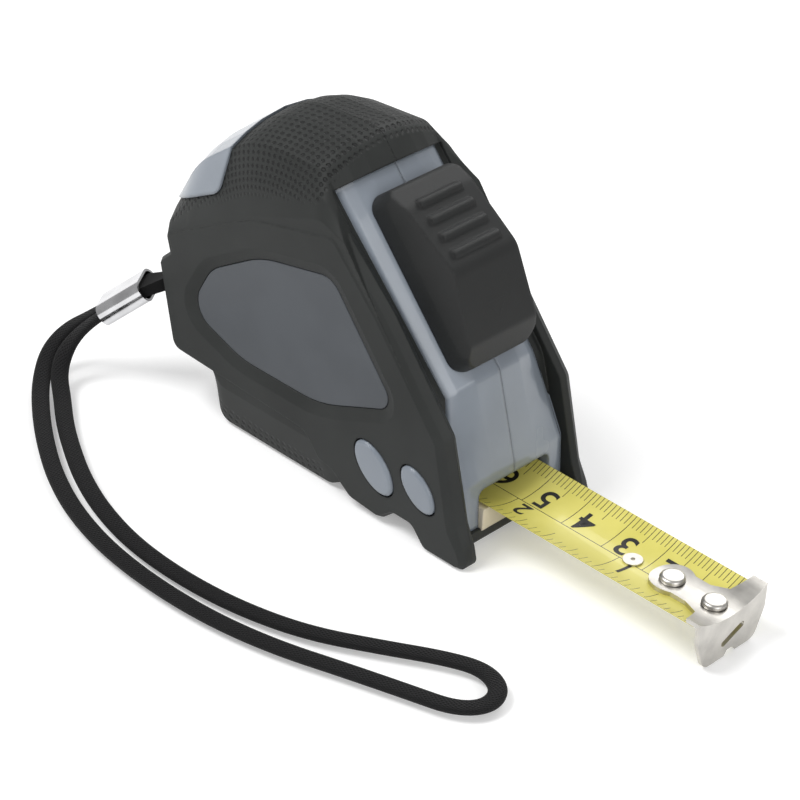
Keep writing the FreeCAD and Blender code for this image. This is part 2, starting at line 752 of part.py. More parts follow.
def make_lock():
    keepout = panel_keepout()
    seam = slider_box(-4.0, slider_length + 4.0, -2 * case_split_gap, 2 * case_split_gap, -8.0, 0.3)
    keepout = keepout.fuse(mirrored(keepout)).fuse(seam)
    block = slider_form(0.0).cut(keepout)
    core = slider_form(grip_thickness).cut(keepout)
    grip = block.cut(slider_form(grip_thickness))
    slope = (slider_knuckle_n - slider_brow_n) / (slider_knuckle_s - slider_brow_s)
    for i in range(4):
        s = 4.9 + grip_bar_pitch * i
        n = slider_brow_n + (s - slider_brow_s) * slope - grip_bar_sink
        half = 5.5 + 0.2 * i
        grip = grip.fuse(rod(slider_point(s, n, -half), slider_point(s, n, half), grip_bar_radius))
    nodes["lock_grip"] = solid_of(grip)
    stem = slider_box(stem_start_s, stem_end_s, -stem_half_width, stem_half_width, -3.4, 3.0)
    foot = slider_box(stem_start_s - 1.0, stem_end_s + 3.0, -4.6, 4.6, -4.0, -3.0)
    nodes["lock_slider"] = solid_of(core.fuse(stem).fuse(foot))
    foot_end = slider_point(stem_end_s + 3.06, -4.0)
    spine = [
        Vec(foot_end.x, foot_end.z, 0),
        Vec(26.5, 31.1, 0),
        Vec(29.2, 23.0, 0),
        Vec(30.0, 14.7, 0),
    ]
    arm = flat_prism(ribbon(spine, arm_thickness), side_place(-4.6), Vec(0, 9.2, 0))
    crossbar = box(29.2, 30.8, -fork_outer_half, fork_outer_half, 13.4, 16.0)
    arm = arm.fuse(crossbar)
    for side in (-1, 1):
        y0, y1 = sorted((side * fork_inner_half, side * fork_outer_half))
        arm = arm.fuse(box(29.2, 30.8, y0, y1, 8.5, 14.0))
    rub = rod(Vec(20, 0, blade_axis_z), Vec(40, 0, blade_axis_z), blade_bow_radius - 0.35)
    lower = box(20, 40, -20, 20, 0, 13.0)
    arm = arm.cut(lower.cut(rub))
    nodes["brake_arm"] = solid_of(arm)


# ---- belt clip and screws ------------------------------------------------------------------
def make_clip():
    face_y = case_half_width
    inner_y = face_y + clip_thickness / 2
    outer_y = face_y + clip_gap + clip_thickness / 2
    foot_end = clip_top_z - clip_foot_length
    run = [
        Vec(inner_y, clip_top_z, 0),
        Vec(inner_y, foot_end, 0),
        Vec(outer_y, foot_end - 4.6, 0),
        Vec(outer_y, 20.5, 0),
        Vec(outer_y - 3.4, 15.0, 0),
        Vec(outer_y - 1.2, 11.4, 0),
    ]
    x0 = reel_x - clip_width / 2
    clip = flat_prism(ribbon(run, clip_thickness), lambda p: Vec(x0, p.x, p.y), Vec(clip_width, 0, 0))
    corners = [e for e in clip.Edges if abs(e.Length - clip_thickness) < 0.01]
    ends = [e for e in corners if e.CenterOfMass.z > clip_top_z - 0.1 or e.CenterOfMass.z < 12.5]
    clip = clip.makeFillet(3.0, ends)
    hole = rod(Vec(reel_x, face_y - 1, clip_screw_z), Vec(reel_x, face_y + 3, clip_screw_z), screw_radius + 0.15)
    nodes["belt_clip"] = solid_of(clip.cut(hole))
    head_y = face_y + clip_thickness
    nodes["clip_screw"] = screw(reel_x, clip_screw_z, cavity_half_width + 0.4, head_y)


def screw(x, z, tip_y, head_y):
    """Pan-head screw along Y with a cross recess, its head on the left."""
    shank = rod(Vec(x, tip_y, z), Vec(x, head_y, z), screw_radius)
    head = rod(Vec(x, head_y, z), Vec(x, head_y + screw_head_height, z), screw_head_radius)
    rim = [e for e in head.Edges if e.CenterOfMass.y > head_y + 0.5 * screw_head_height]
    head = head.makeFillet(0.7, [e for e in rim if e.Length > 2 * math.pi * screw_head_radius - 0.1])
    top = head_y + screw_head_height
    recess = box(x - 1.4, x + 1.4, top - 0.9, top + 1, z - 0.3, z + 0.3)
    recess = recess.fuse(box(x - 0.3, x + 0.3, top - 0.9, top + 1, z - 1.4, z + 1.4))
    return solid_of(shank.fuse(head).cut(recess))


def make_screws():
    nodes["case_screws"] = group([screw(x, z, -8.0, 14.0) for x, z in screw_places])


# ---- wrist strap ---------------------------------------------------------------------------
def ferrule_axes():
    along = (ferrule_to - ferrule_from).normalize()
    wide = Vec(0, 0, 1).cross(along).normalize()
    tall = along.cross(wide).normalize()
    return along, wide, tall


# Control points of the strap's loop: out of the ferrule, down to the surface, round and back.
strap_route = [
    Vec(-56.6, -25.8, 11.9), Vec(-58.2, -29.8, 7.2), Vec(-56.2, -33.4, 3.8),
    Vec(-50.9, -37.0, 2.2), Vec(-43.9, -42.4, 2.0), Vec(-36.0, -47.4, 2.0),
    Vec(-27.4, -52.2, 2.0), Vec(-17.0, -56.4, 2.0), Vec(-4.6, -59.3, 2.0),
    Vec(9.4, -59.8, 2.0), Vec(23.2, -58.2, 2.0), Vec(36.6, -54.2, 2.0),
    Vec(48.6, -47.2, 2.0), Vec(58.2, -41.2, 2.0), Vec(65.4, -38.2, 2.0),
    Vec(71.4, -40.2, 2.0), Vec(73.2, -45.4, 2.0), Vec(69.6, -50.2, 2.0),
    Vec(60.6, -53.0, 2.0), Vec(48.4, -57.0, 2.0), Vec(35.8, -61.4, 2.0),
    Vec(22.2, -64.2, 2.0), Vec(7.6, -65.0, 2.0), Vec(-7.0, -63.9, 2.0),
    Vec(-20.2, -60.6, 2.0), Vec(-31.6, -55.6, 2.0), Vec(-41.4, -49.6, 2.0),
    Vec(-50.0, -43.4, 2.0), Vec(-57.6, -37.0, 2.4), Vec(-62.4, -31.0, 4.8),
    Vec(-62.4, -26.0, 8.6), Vec(-58.6, -22.3, 12.1),
]


def strap_path(route):
    """Straight runs joined by tangent arcs, each as large as its two runs allow."""
    edges = []
    radii = []
    cursor = route[0]
    for before, here, after in zip(route, route[1:], route[2:]):
        d1 = (here - before).normalize()
        d2 = (after - here).normalize()
        turn = d1.getAngle(d2)
        reach = 0.45 * min((here - before).Length, (after - here).Length)
        radius = reach / math.tan(turn / 2)
        radii.append(radius)
        start = here - d1 * reach
        end = here + d2 * reach
        middle = here + (d2 - d1).normalize() * (radius / math.cos(turn / 2) - radius)
        edges.append(Part.LineSegment(cursor, start).toShape())
        edges.append(Part.Arc(start, middle, end).toShape())
        cursor = end
    edges.append(Part.LineSegment(cursor, route[-1]).toShape())
    return Part.Wire(edges), radii


def make_strap():
    along, wide, tall = ferrule_axes()
    start = ferrule_to + wide * strand_offset
    end = ferrule_to - wide * strand_offset
    path, radii = strap_path([start] + strap_route + [end])
    circle = Part.Wire(Part.makeCircle(strap_radius, start, along))
    tube = path.makePipeShell([circle], True, False)
    expected = math.pi * strap_radius ** 2 * path.Length
    print("strap length", round(path.Length, 1), "volume ratio", round(tube.Volume / expected, 4))
    print("strap radii", [round(r, 1) for r in radii])
    nodes["wrist_strap"] = solid_of(tube)


def make_strap_fittings():
    p = strap_pin_place
    nodes["strap_pin"] = strap_pin()
    along, wide, tall = ferrule_axes()

    def section(half_width, half_height, at):
        corners = [(-half_width, -half_height, 0.9 * half_height), (half_width, -half_height, 0.9 * half_height),
                   (half_width, half_height, 0.9 * half_height), (-half_width, half_height, 0.9 * half_height)]
        corners.reverse()
        return corner_wire(corners, lambda q: at + wide * q.x + tall * q.y)

    length = (ferrule_to - ferrule_from).Length
    sleeve = Part.Face(section(ferrule_half_width, ferrule_half_height, ferrule_from)).extrude(along * length)
    inside = Part.Face(section(ferrule_half_width - ferrule_wall, ferrule_half_height - ferrule_wall,
                               ferrule_from - along)).extrude(along * (length + 2))
    nodes["strap_ferrule"] = solid_of(sleeve.cut(inside))
    eye = rod(p - Vec(0, 0, 1.9), p + Vec(0, 0, 1.9), strap_pin_radius + 1.2)
    neck_end = ferrule_to - along * 0.2
    neck = Part.makeLoft([
        Part.makePolygon([p + Vec(-0.4, -1.0, -1.7), p + Vec(-0.4, 1.0, -1.7),
                          p + Vec(-0.4, 1.0, 1.7), p + Vec(-0.4, -1.0, 1.7), p + Vec(-0.4, -1.0, -1.7)]),
        Part.makePolygon([ferrule_from + wide * 3.0 - tall * 1.1, ferrule_from - wide * 3.0 - tall * 1.1,
                          ferrule_from - wide * 3.0 + tall * 1.1, ferrule_from + wide * 3.0 + tall * 1.1,
                          ferrule_from + wide * 3.0 - tall * 1.1]),
        Part.makePolygon([neck_end + wide * 3.2 - tall * 1.4, neck_end - wide * 3.2 - tall * 1.4,
                          neck_end - wide * 3.2 + tall * 1.4, neck_end + wide * 3.2 + tall * 1.4,
                          neck_end + wide * 3.2 - tall * 1.4]),
    ], True, True)
    tether = eye.fuse(neck).cut(rod(p - Vec(0, 0, 3), p + Vec(0, 0, 3), strap_pin_radius + 0.1))
    nodes["strap_tether"] = solid_of(tether)


make_reel()
make_blade()
make_hook()
make_bumper()
make_lock()
make_clip()
make_screws()
make_strap()
make_strap_fittings()
nodes["right_shell"], nodes["right_jacket"] = make_half("right")
nodes["left_shell"], nodes["left_jacket"] = make_half("left")
nodes["right_label"] = make_label()

os.makedirs("parts", exist_ok=True)
for name, shape in nodes.items():
    shape.exportStep("parts/" + name + ".step")
    print(name, "solids", len(shape.Solids), "valid", shape.isValid(), "volume", round(shape.Volume, 1))
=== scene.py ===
import math
import bpy
from mathutils import Matrix, Vector
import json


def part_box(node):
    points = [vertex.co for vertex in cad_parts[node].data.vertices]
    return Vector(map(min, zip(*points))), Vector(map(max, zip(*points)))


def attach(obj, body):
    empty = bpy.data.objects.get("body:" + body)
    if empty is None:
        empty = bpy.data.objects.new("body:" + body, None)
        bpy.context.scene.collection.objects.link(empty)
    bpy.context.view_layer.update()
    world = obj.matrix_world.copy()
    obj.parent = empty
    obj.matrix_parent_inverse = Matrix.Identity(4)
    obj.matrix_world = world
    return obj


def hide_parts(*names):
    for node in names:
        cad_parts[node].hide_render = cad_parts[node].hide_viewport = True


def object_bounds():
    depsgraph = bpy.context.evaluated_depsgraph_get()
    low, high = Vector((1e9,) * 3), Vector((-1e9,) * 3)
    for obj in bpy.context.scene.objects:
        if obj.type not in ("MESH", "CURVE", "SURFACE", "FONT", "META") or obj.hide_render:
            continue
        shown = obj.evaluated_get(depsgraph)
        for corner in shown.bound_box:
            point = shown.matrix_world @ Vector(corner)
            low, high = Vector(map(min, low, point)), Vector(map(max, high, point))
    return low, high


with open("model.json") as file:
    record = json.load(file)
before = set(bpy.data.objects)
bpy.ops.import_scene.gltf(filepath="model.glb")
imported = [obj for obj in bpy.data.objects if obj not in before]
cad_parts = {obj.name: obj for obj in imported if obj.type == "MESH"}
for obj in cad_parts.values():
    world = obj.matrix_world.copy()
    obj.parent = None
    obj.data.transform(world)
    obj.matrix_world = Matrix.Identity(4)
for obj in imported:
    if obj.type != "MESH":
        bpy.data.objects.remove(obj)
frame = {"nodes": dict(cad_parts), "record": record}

MM = 0.001
cad_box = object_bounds()

# ---- places read from the frame -------------------------------------------------------------
blade_low = Vector(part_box("blade")[0])
hook_high = Vector(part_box("hook")[1])
coil_low, coil_high = (Vector(p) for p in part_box("blade_coil"))
HOOK_THICKNESS = 0.9 * MM
DIVISION_Y = -1.0 * MM
HOOK_FACE_X = hook_high.x - HOOK_THICKNESS
BLADE_BOW = 21.9 * MM
BLADE_HALF_THICKNESS = 0.1 * MM
BLADE_AXIS_Z = blade_low.z + BLADE_BOW + BLADE_HALF_THICKNESS
REEL = (coil_low + coil_high) / 2


# ---- camera ---------------------------------------------------------------------------------
def make_camera():
    """A long lens above the case's right front corner, rolled a little."""
    azimuth, elevation, roll = 0.73811, 0.58387, 0.05811
    distance = 631.04 * MM
    target = Vector((6.47, 0.0, 13.84)) * MM
    right = Vector((math.cos(azimuth), math.sin(azimuth), 0))
    level = math.cos(elevation)
    back = Vector((math.sin(azimuth) * level, -math.cos(azimuth) * level, math.sin(elevation)))
    up = back.cross(right)
    side = right * math.cos(roll) + up * math.sin(roll)
    top = up * math.cos(roll) - right * math.sin(roll)
    data = bpy.data.cameras.new("camera")
    data.sensor_width = 36.0
    data.lens = 145.8
    data.clip_start = 0.01
    data.clip_end = 10.0
    camera = bpy.data.objects.new("camera", data)
    turn = Matrix((side, top, back)).transposed()
    camera.matrix_world = Matrix.Translation(target + back * distance) @ turn.to_4x4()
    bpy.context.scene.collection.objects.link(camera)
    bpy.context.scene.camera = camera


make_camera()


# ---- small helpers --------------------------------------------------------------------------
def clear_selection():
    bpy.ops.object.select_all(action="DESELECT")


def smooth(obj, degrees=35):
    clear_selection()
    obj.select_set(True)
    bpy.context.view_layer.objects.active = obj
    bpy.ops.object.shade_smooth_by_angle(angle=math.radians(degrees))


def new_mesh_object(name, verts, faces):
    mesh = bpy.data.meshes.new(name)
    mesh.from_pydata(verts, [], faces)
    mesh.update()
    obj = bpy.data.objects.new(name, mesh)
    bpy.context.scene.collection.objects.link(obj)
    return obj


# ---- material building ----------------------------------------------------------------------
class Nodes:
    """Short calls for laying out a material's nodes."""

    def __init__(self, tree):
        self.tree = tree

    def add(self, kind, **settings):
        node = self.tree.nodes.new(kind)
        inputs = settings.pop("inputs", {})
        for key, value in settings.items():
            setattr(node, key, value)
        for key, value in inputs.items():
            if isinstance(value, bpy.types.NodeSocket):
                self.tree.links.new(value, node.inputs[key])
            else:
                node.inputs[key].default_value = value
        return node

    def math(self, operation, a, b=0.0, c=0.0):
        node = self.add("ShaderNodeMath", operation=operation, inputs={0: a, 1: b, 2: c})
        return node.outputs[0]

    def ramp(self, value, low, high):
        """0 below low, 1 above high, smooth between."""
        node = self.add("ShaderNodeMapRange", interpolation_type="SMOOTHSTEP",
                        inputs={"Value": value, "From Min": low, "From Max": high})
        return node.outputs[0]

    def mix(self, factor, a, b):
        node = self.add("ShaderNodeMix", data_type="RGBA", inputs={0: factor, 6: a, 7: b})
        return node.outputs[2]

    def place(self):
        coord = self.add("ShaderNodeTexCoord").outputs["Object"]
        return self.add("ShaderNodeSeparateXYZ", inputs={0: coord}).outputs

    def span(self, value, low, high):
        """The values from 0 to 1 spread from low to high."""
        node = self.add("ShaderNodeMapRange", inputs={"Value": value, "To Min": low, "To Max": high})
        return node.outputs[0]

    def link(self, value, socket):
        self.tree.links.new(value, socket)

    def noise(self, scale, detail=2.0, rough=0.5):
        coord = self.add("ShaderNodeTexCoord").outputs["Object"]
        node = self.add("ShaderNodeTexNoise", inputs={
            "Vector": coord, "Scale": scale, "Detail": detail, "Roughness": rough})
        return node.outputs[0]

    def bump(self, height, strength, distance):
        node = self.add("ShaderNodeBump", inputs={
            "Height": height, "Strength": strength, "Distance": distance})
        return node.outputs[0]


def start_material(name, roughness, metallic=0.0, coat=0.0):
    material = bpy.data.materials.new(name)
    material.use_nodes = True
    nodes = Nodes(material.node_tree)
    shader = material.node_tree.nodes["Principled BSDF"]
    shader.inputs["Roughness"].default_value = roughness
    shader.inputs["Metallic"].default_value = metallic
    shader.inputs["Coat Weight"].default_value = coat
    return material, nodes, shader


def colour(red, green, blue):
    """A colour written as it shows on a screen, 0 to 255, for a shader's linear socket."""
    def linear(value):
        value /= 255
        return value / 12.92 if value <= 0.04045 else ((value + 0.055) / 1.055) ** 2.4
    return (linear(red), linear(green), linear(blue), 1.0)


def group_with(name, inputs, outputs):
    """An empty shader group with named sockets, and its node caller."""
    tree = bpy.data.node_groups.new(name, "ShaderNodeTree")
    for label, kind, default in inputs:
        socket = tree.interface.new_socket(label, in_out="INPUT", socket_type=kind)
        if default is not None:
            socket.default_value = default
    for label, kind in outputs:
        tree.interface.new_socket(label, in_out="OUTPUT", socket_type=kind)
    nodes = Nodes(tree)
    return tree, nodes, nodes.add("NodeGroupInput").outputs, nodes.add("NodeGroupOutput").inputs


GRAIN_DEPTH = 0.03 * MM
RELIEF_DEPTH = 0.3 * MM
EDGE_STARTS, EDGE_FULL = 0.97, 0.7


def softened_edge_group():
    """Rounds hard edges in the light, adds a fine grain, and finds the edges for their wear."""
    tree, nodes, given, out = group_with("softened_edge", [
        ("Radius", "NodeSocketFloat", 0.0003), ("Grain Scale", "NodeSocketFloat", 2600.0),
        ("Grain Strength", "NodeSocketFloat", 0.2), ("Relief", "NodeSocketFloat", 0.0),
    ], [("Normal", "NodeSocketVector"), ("Edge", "NodeSocketFloat")])
    soft = nodes.add("ShaderNodeBevel", samples=6, inputs={"Radius": given["Radius"]}).outputs[0]
    coord = nodes.add("ShaderNodeTexCoord").outputs["Object"]
    grain = nodes.add("ShaderNodeTexNoise", inputs={
        "Vector": coord, "Scale": given["Grain Scale"], "Detail": 2.0}).outputs[0]
    fine = nodes.add("ShaderNodeBump", inputs={
        "Height": grain, "Strength": given["Grain Strength"], "Distance": GRAIN_DEPTH,
        "Normal": soft}).outputs[0]
    relief = nodes.add("ShaderNodeBump", inputs={
        "Height": given["Relief"], "Strength": 1.0, "Distance": RELIEF_DEPTH,
        "Normal": fine}).outputs[0]
    flat = nodes.add("ShaderNodeNewGeometry").outputs["Normal"]
    turned = nodes.add("ShaderNodeVectorMath", operation="DOT_PRODUCT",
                       inputs={0: soft, 1: flat}).outputs["Value"]
    nodes.link(relief, out["Normal"])
    nodes.link(nodes.ramp(turned, EDGE_STARTS, EDGE_FULL), out["Edge"])
    return tree


RUBBED_SHARE = 0.2


def cloud_tint_group():
    """Base colour with a faint cloud of a darker shade, and paler where edges are rubbed."""
    tree, nodes, given, out = group_with("cloud_tint", [
        ("Base", "NodeSocketColor", None), ("Shade", "NodeSocketColor", None),
        ("Rubbed", "NodeSocketColor", None), ("Scale", "NodeSocketFloat", 60.0),
        ("Edge", "NodeSocketFloat", 0.0),
    ], [("Color", "NodeSocketColor"), ("Cloud", "NodeSocketFloat")])
    coord = nodes.add("ShaderNodeTexCoord").outputs["Object"]
    noise = nodes.add("ShaderNodeTexNoise", inputs={
        "Vector": coord, "Scale": given["Scale"], "Detail": 3.0}).outputs[0]
    cloud = nodes.ramp(noise, 0.35, 0.65)
    tint = nodes.mix(cloud, given["Shade"], given["Base"])
    speckle = nodes.ramp(nodes.noise(900, 3), 0.42, 0.62)
    rubbed = nodes.math("MULTIPLY", nodes.math("MULTIPLY", given["Edge"], speckle), RUBBED_SHARE)
    nodes.link(nodes.mix(rubbed, tint, given["Rubbed"]), out["Color"])
    nodes.link(noise, out["Cloud"])
    return tree


softened_edge = softened_edge_group()
cloud_tint = cloud_tint_group()


def dress(nodes, shader, base, radius, grain, roughness, relief=0.0):
    """Puts the two shared effects on a shader; base is a colour or a colour socket."""
    edge = nodes.add("ShaderNodeGroup", node_tree=softened_edge, inputs={
        "Radius": radius, "Grain Strength": grain, "Relief": relief}).outputs
    if isinstance(base, tuple):
        darker = tuple(0.88 * c for c in base[:3]) + (1.0,)
        paler = tuple(min(1.0, 1.25 * c + 0.01) for c in base[:3]) + (1.0,)
    else:
        darker = nodes.mix(0.12, base, (0, 0, 0, 1))
        paler = nodes.mix(0.12, base, (1, 1, 1, 1))
    tint = nodes.add("ShaderNodeGroup", node_tree=cloud_tint, inputs={
        "Base": base, "Shade": darker, "Rubbed": paler, "Edge": edge["Edge"]}).outputs
    rough = nodes.span(tint["Cloud"], roughness - 0.05, roughness + 0.07)
    nodes.link(tint["Color"], shader.inputs["Base Color"])
    nodes.link(rough, shader.inputs["Roughness"])
    nodes.link(edge["Normal"], shader.inputs["Normal"])


def moulded_plastic(name, base, roughness, grain=0.25, coat=0.0, radius=0.4 * MM, specular=0.5):
    """Moulded plastic: even colour with a faint cloud, a fine sparked grain and soft edges."""
    material, nodes, shader = start_material(name, roughness, coat=coat)
    shader.inputs["Specular IOR Level"].default_value = specular
    dress(nodes, shader, base, radius, grain, roughness)
    return material


PIT_PITCH = 1.7 * MM
PIT_RING = 34.0 * MM                # distance from the reel's axis where the pitch is exact
PIT_RIM, PIT_FLOOR = 0.38, 0.16     # distances from a pit's middle, as shares of the pitch
PIT_HALF_WIDTH = 16.8 * MM
CREST_SLOPE = 0.45


def pit_mask(nodes, x, y, z):
    """Small round pits in rings and rays round the reel's axis, on the jacket's top and rear grip."""
    def times(a, b):
        return nodes.math("MULTIPLY", a, b)

    def over(value, low, high):
        """0 below low, 1 above high, both in millimetres; low above high turns it round."""
        return nodes.ramp(value, low * MM, high * MM)

    def from_cell(value):
        """Distance from the middle of its own cell, signed."""
        return nodes.math("SUBTRACT", nodes.math("FRACT", value), 0.5)

    def length(a, b):
        return nodes.math("SQRT", nodes.math("ADD", times(a, a), times(b, b)))

    across = nodes.math("ABSOLUTE", y)
    dx = nodes.math("SUBTRACT", x, REEL.x)
    dz = nodes.math("SUBTRACT", z, REEL.z)
    along = times(nodes.math("ARCTAN2", dz, dx), PIT_RING / PIT_PITCH)
    down = nodes.math("DIVIDE", nodes.math("SUBTRACT", across, length(dx, dz)), PIT_PITCH)
    pit = nodes.ramp(length(from_cell(along), from_cell(down)), PIT_RIM, PIT_FLOOR)
    inner = nodes.ramp(across, PIT_HALF_WIDTH + 0.6 * MM, PIT_HALF_WIDTH)
    crest = nodes.math("SUBTRACT", z, times(x, CREST_SLOPE))
    upper = times(over(crest, 59.4, 60.4), over(x, -0.5, -1.5))
    rear = times(over(z, 38.6, 39.6), over(x, -37.0, -38.0))
    lower = times(times(over(z, 10.4, 9.6), over(x, 3.0, 2.0)), over(z, 0.6, 1.2))
    zone = nodes.math("MAXIMUM", nodes.math("MAXIMUM", upper, rear), lower)
    return times(pit, times(zone, inner))


def dimpled_rubber():
    """Charcoal rubber, smooth on its flanks and pitted on its top and on the rear grip, with painted
    shade darkening the inside of each pit.
    """
    material, nodes, shader = start_material("jacket_rubber", 0.6)
    shader.inputs["Specular IOR Level"].default_value = 0.3
    x, y, z = nodes.place()
    pits = pit_mask(nodes, x, y, z)
    cloud = nodes.ramp(nodes.noise(45, 4), 0.3, 0.7)
    base = nodes.mix(cloud, colour(38, 40, 39), colour(46, 48, 47))
    # painted shade: the pits are coloured darker than the rubber, standing in for the shade inside
    # them
    base = nodes.mix(pits, base, colour(27, 28, 28))
    dress(nodes, shader, base, 0.5 * MM, 0.35, 0.56, relief=nodes.math("SUBTRACT", 0.0, pits))
    return material


PANEL_TOP_X, PANEL_TOP_Z = 4.7 * MM, 61.4 * MM
PANEL_RUN, PANEL_DROP = 0.6765, 0.7364      # one step down the panel, along X and down Z
ARROW_SLOPE = 1.2
ARROW_OUTER = (30.0 * MM, 3.0 * MM)         # how far down the panel its point is, and its half width
ARROW_INNER = (29.4 * MM, 2.2 * MM)
ARROW_HEIGHT = 0.6


def slider_rubber():
    """Black rubber with a raised outline arrow below the thumb bars."""
    material, nodes, shader = start_material("slider_rubber", 0.55)
    shader.inputs["Specular IOR Level"].default_value = 0.32
    x, y, z = nodes.place()
    along_x = nodes.math("MULTIPLY", nodes.math("SUBTRACT", x, PANEL_TOP_X), PANEL_RUN)
    along_z = nodes.math("MULTIPLY", nodes.math("SUBTRACT", z, PANEL_TOP_Z), PANEL_DROP)
    down = nodes.math("SUBTRACT", along_x, along_z)
    across = nodes.math("ABSOLUTE", y)

    def inside(tip, half):
        """A triangle whose point is at tip, further down the panel than its base."""
        slope = nodes.math("ADD", nodes.math("MULTIPLY", across, ARROW_SLOPE), down)
        body = nodes.math("LESS_THAN", slope, tip)
        return nodes.math("MULTIPLY", body, nodes.math("GREATER_THAN", down, tip - ARROW_SLOPE * half))

    outline = nodes.math("SUBTRACT", inside(*ARROW_OUTER), inside(*ARROW_INNER))
    relief = nodes.math("MULTIPLY", outline, ARROW_HEIGHT)
    dress(nodes, shader, colour(38, 39, 39), 0.9 * MM, 0.6, 0.5, relief=relief)
    return material


CM = 10 * MM
INCH = 25.4 * MM
TICK_EDGE = 9.3 * MM
FINE_LINE, BOLD_LINE, DIVISION_LINE = 0.075 * MM, 0.08 * MM, 0.09 * MM
INCH_FINE_LINE = 0.07 * MM
TICKS = [                                   # pitch, first and last place across, half a line's width
    (CM / 10, 6.6 * MM, TICK_EDGE, FINE_LINE),
    (CM / 2, 5.0 * MM, TICK_EDGE, FINE_LINE),
    (CM, DIVISION_Y, TICK_EDGE, BOLD_LINE),
    (INCH / 16, -TICK_EDGE, -7.2 * MM, INCH_FINE_LINE),
    (INCH / 8, -TICK_EDGE, -6.4 * MM, INCH_FINE_LINE),
    (INCH / 4, -TICK_EDGE, -5.6 * MM, INCH_FINE_LINE),
    (INCH / 2, -TICK_EDGE, -4.8 * MM, BOLD_LINE),
    (INCH, -TICK_EDGE, DIVISION_Y, BOLD_LINE),
]
UPPER_FACE = 0.2                            # least upward part of a normal that counts as the top


def blade_paint():
    """Yellow lacquer with the blade's graduations: millimetres on one edge, inches on the other."""
    material, nodes, shader = start_material("blade_yellow", 0.34, coat=0.3)
    x, y, _ = nodes.place()
    worn = nodes.ramp(nodes.noise(90, 3), 0.3, 0.7)
    yellow = nodes.mix(worn, colour(208, 199, 96), colour(219, 210, 112))
    from_hook = nodes.math("SUBTRACT", HOOK_FACE_X, x)

    def ticks(pitch, first_y, last_y, half_line):
        """Lines at every pitch from the hook, between two places across the blade."""
        steps = nodes.math("DIVIDE", from_hook, pitch)
        off = nodes.math("ABSOLUTE", nodes.math("SUBTRACT", steps, nodes.math("ROUND", steps)))
        line = nodes.math("LESS_THAN", off, half_line / pitch)
        within = nodes.math("MULTIPLY", nodes.math("GREATER_THAN", y, first_y),
                            nodes.math("LESS_THAN", y, last_y))
        return nodes.math("MULTIPLY", line, within)

    from_division = nodes.math("ABSOLUTE", nodes.math("SUBTRACT", y, DIVISION_Y))
    ink = nodes.math("LESS_THAN", from_division, DIVISION_LINE)
    for row in TICKS:
        ink = nodes.math("MAXIMUM", ink, ticks(*row))
    normal = nodes.add("ShaderNodeTexCoord").outputs["Normal"]
    up = nodes.add("ShaderNodeSeparateXYZ", inputs={0: normal}).outputs[2]
    ink = nodes.math("MULTIPLY", ink, nodes.math("GREATER_THAN", up, UPPER_FACE))
    nodes.link(nodes.mix(ink, yellow, colour(38, 36, 26)), shader.inputs["Base Color"])
    nodes.link(nodes.span(nodes.noise(400, 3), 0.28, 0.42), shader.inputs["Roughness"])
    return material


SCUFF_STRETCH = (300, 2600, 2600)


def plated_steel(name, base, roughness, scratch=0.5):
    """Plated metal with fine scuffs along one direction and cloudy gloss."""
    material, nodes, shader = start_material(name, roughness, metallic=1.0)
    coord = nodes.add("ShaderNodeTexCoord").outputs["Object"]
    stretched = nodes.add("ShaderNodeMapping", inputs={
        "Vector": coord, "Scale": SCUFF_STRETCH}).outputs[0]
    scuff = nodes.add("ShaderNodeTexNoise", inputs={
        "Vector": stretched, "Scale": 1.0, "Detail": 3.0}).outputs[0]
    cloud = nodes.noise(220, 4)
    mixed = nodes.math("ADD", nodes.math("MULTIPLY", scuff, scratch),
                       nodes.math("MULTIPLY", cloud, 1 - scratch))
    rough = nodes.add("ShaderNodeMapRange", inputs={
        "Value": mixed, "From Min": 0.3, "From Max": 0.7,
        "To Min": roughness - 0.07, "To Max": roughness + 0.09}).outputs[0]
    darker = tuple(0.8 * c for c in base[:3]) + (1.0,)
    nodes.link(rough, shader.inputs["Roughness"])
    nodes.link(nodes.mix(nodes.ramp(cloud, 0.3, 0.7), darker, base), shader.inputs["Base Color"])
    nodes.link(nodes.bump(scuff, 0.15, 0.03 * MM), shader.inputs["Normal"])
    return material


PLAITS_ROUND = 18.0
PLAITS_ALONG = 4.0                          # in one width of the strap
PLAIT_DEPTH = 0.3 * MM


def braided_cord():
    """Black flat braid: two crossing sets of steep plaits, read from the cord's own UV map, with
    painted shade between the plaits and a painted highlight on their crests.
    """
    material, nodes, shader = start_material("strap_braid", 0.8)
    shader.inputs["Specular IOR Level"].default_value = 0.2
    shader.inputs["Sheen Weight"].default_value = 0.05
    uv = nodes.add("ShaderNodeUVMap", uv_map="braid").outputs[0]
    u, v, _ = nodes.add("ShaderNodeSeparateXYZ", inputs={0: uv}).outputs
    waves = []
    for hand in (-1, 1):
        phase = nodes.math("ADD", nodes.math("MULTIPLY", u, PLAITS_ROUND),
                           nodes.math("MULTIPLY", v, hand * PLAITS_ALONG))
        turns = nodes.math("MULTIPLY", phase, math.pi)
        waves.append(nodes.math("ABSOLUTE", nodes.math("SINE", turns)))
    plait_relief_and_shade = nodes.math("MAXIMUM", waves[0], waves[1])
    # painted shade and highlight: the braid is coloured near black in the grooves between plaits and
    # lighter on their crests
    base = nodes.mix(nodes.ramp(plait_relief_and_shade, 0.55, 1.0), colour(8, 8, 9), colour(27, 27, 28))
    nodes.link(base, shader.inputs["Base Color"])
    nodes.link(nodes.bump(plait_relief_and_shade, 0.9, PLAIT_DEPTH), shader.inputs["Normal"])
    return material


